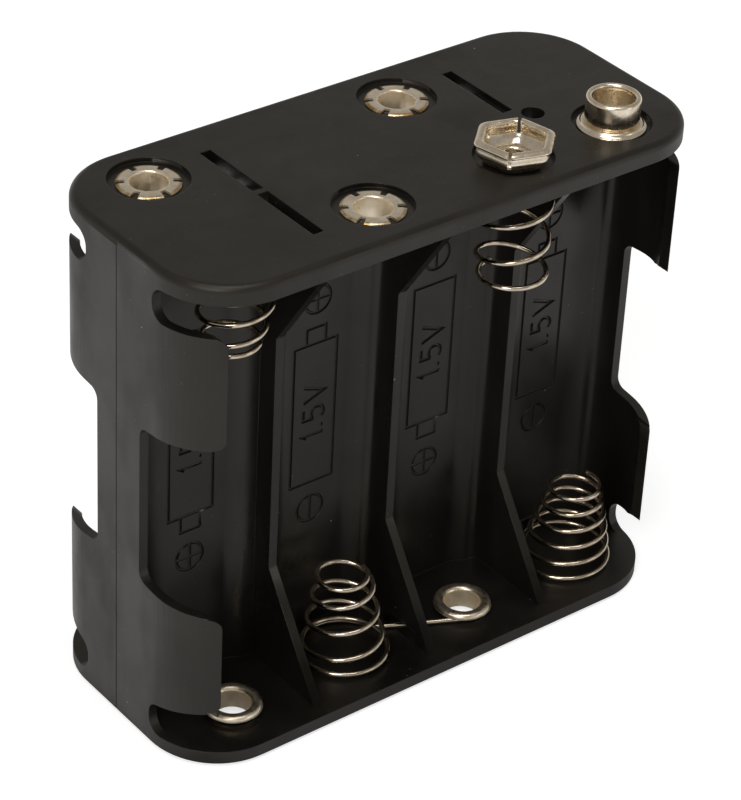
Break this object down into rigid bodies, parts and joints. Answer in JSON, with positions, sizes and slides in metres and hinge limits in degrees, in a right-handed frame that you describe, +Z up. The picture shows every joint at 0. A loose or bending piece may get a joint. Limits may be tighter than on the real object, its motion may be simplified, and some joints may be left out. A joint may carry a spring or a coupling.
{
  "type": "battery holder",
  "caption": "Open moulded holder for AA cells in back-to-back rows, with coiled contact springs, clinched eyelets and snap terminals on its top plate.",
  "frame": {"origin": "centre of the bottom plate's outer face, on the surface it stands on", "axes": "+Z up, +X along the width so that the terminals are at the right seen from the front, front face towards -Y"},
  "size_m": [0.0624, 0.028, 0.0589],
  "materials": {
    "black_plastic": "satin moulded black",
    "nickel_plate": "bright nickel plate, slightly warm",
    "spring_wire": "bright drawn wire, nickel plated"
  },
  "bodies": {
    "holder": {"housing": "black_plastic", "eyelet_f1_bottom": "nickel_plate", "eyelet_f2_top": "nickel_plate", "eyelet_f3_bottom": "nickel_plate", "eyelet_b1_top": "nickel_plate", "eyelet_b2_bottom": "nickel_plate", "eyelet_b3_top": "nickel_plate", "eyelet_b4_bottom": "nickel_plate", "socket_snap": "nickel_plate", "socket_rivet": "nickel_plate", "stud_snap": "nickel_plate", "stud_rivet": "nickel_plate"},
    "spring_f1_top": {"spring_f1_top": "spring_wire"},
    "spring_f2_bottom": {"spring_f2_bottom": "spring_wire"},
    "spring_f3_top": {"spring_f3_top": "spring_wire"},
    "spring_f4_bottom": {"spring_f4_bottom": "spring_wire"},
    "spring_b1_bottom": {"spring_b1_bottom": "spring_wire"},
    "spring_b2_top": {"spring_b2_top": "spring_wire"},
    "spring_b3_bottom": {"spring_b3_bottom": "spring_wire"},
    "spring_b4_top": {"spring_b4_top": "spring_wire"}
  },
  "joints": [
    {"name": "f1_top_press", "type": "slide", "parent": "holder", "child": "spring_f1_top", "axis": [0, 0, 1], "range_m": [0, 0.0078], "stiffness_N_per_m": 600, "deforming": ["spring_f1_top"]},
    {"name": "f2_bottom_press", "type": "slide", "parent": "holder", "child": "spring_f2_bottom", "axis": [0, 0, -1], "range_m": [0, 0.0078], "stiffness_N_per_m": 600, "deforming": ["spring_f2_bottom"]},
    {"name": "f3_top_press", "type": "slide", "parent": "holder", "child": "spring_f3_top", "axis": [0, 0, 1], "range_m": [0, 0.0088], "stiffness_N_per_m": 600, "deforming": ["spring_f3_top"]},
    {"name": "f4_bottom_press", "type": "slide", "parent": "holder", "child": "spring_f4_bottom", "axis": [0, 0, -1], "range_m": [0, 0.0078], "stiffness_N_per_m": 600, "deforming": ["spring_f4_bottom"]},
    {"name": "b1_bottom_press", "type": "slide", "parent": "holder", "child": "spring_b1_bottom", "axis": [0, 0, -1], "range_m": [0, 0.0078], "stiffness_N_per_m": 600, "deforming": ["spring_b1_bottom"]},
    {"name": "b2_top_press", "type": "slide", "parent": "holder", "child": "spring_b2_top", "axis": [0, 0, 1], "range_m": [0, 0.0078], "stiffness_N_per_m": 600, "deforming": ["spring_b2_top"]},
    {"name": "b3_bottom_press", "type": "slide", "parent": "holder", "child": "spring_b3_bottom", "axis": [0, 0, -1], "range_m": [0, 0.0078], "stiffness_N_per_m": 600, "deforming": ["spring_b3_bottom"]},
    {"name": "b4_top_press", "type": "slide", "parent": "holder", "child": "spring_b4_top", "axis": [0, 0, 1], "range_m": [0, 0.0078], "stiffness_N_per_m": 600, "deforming": ["spring_b4_top"]}
  ]
}
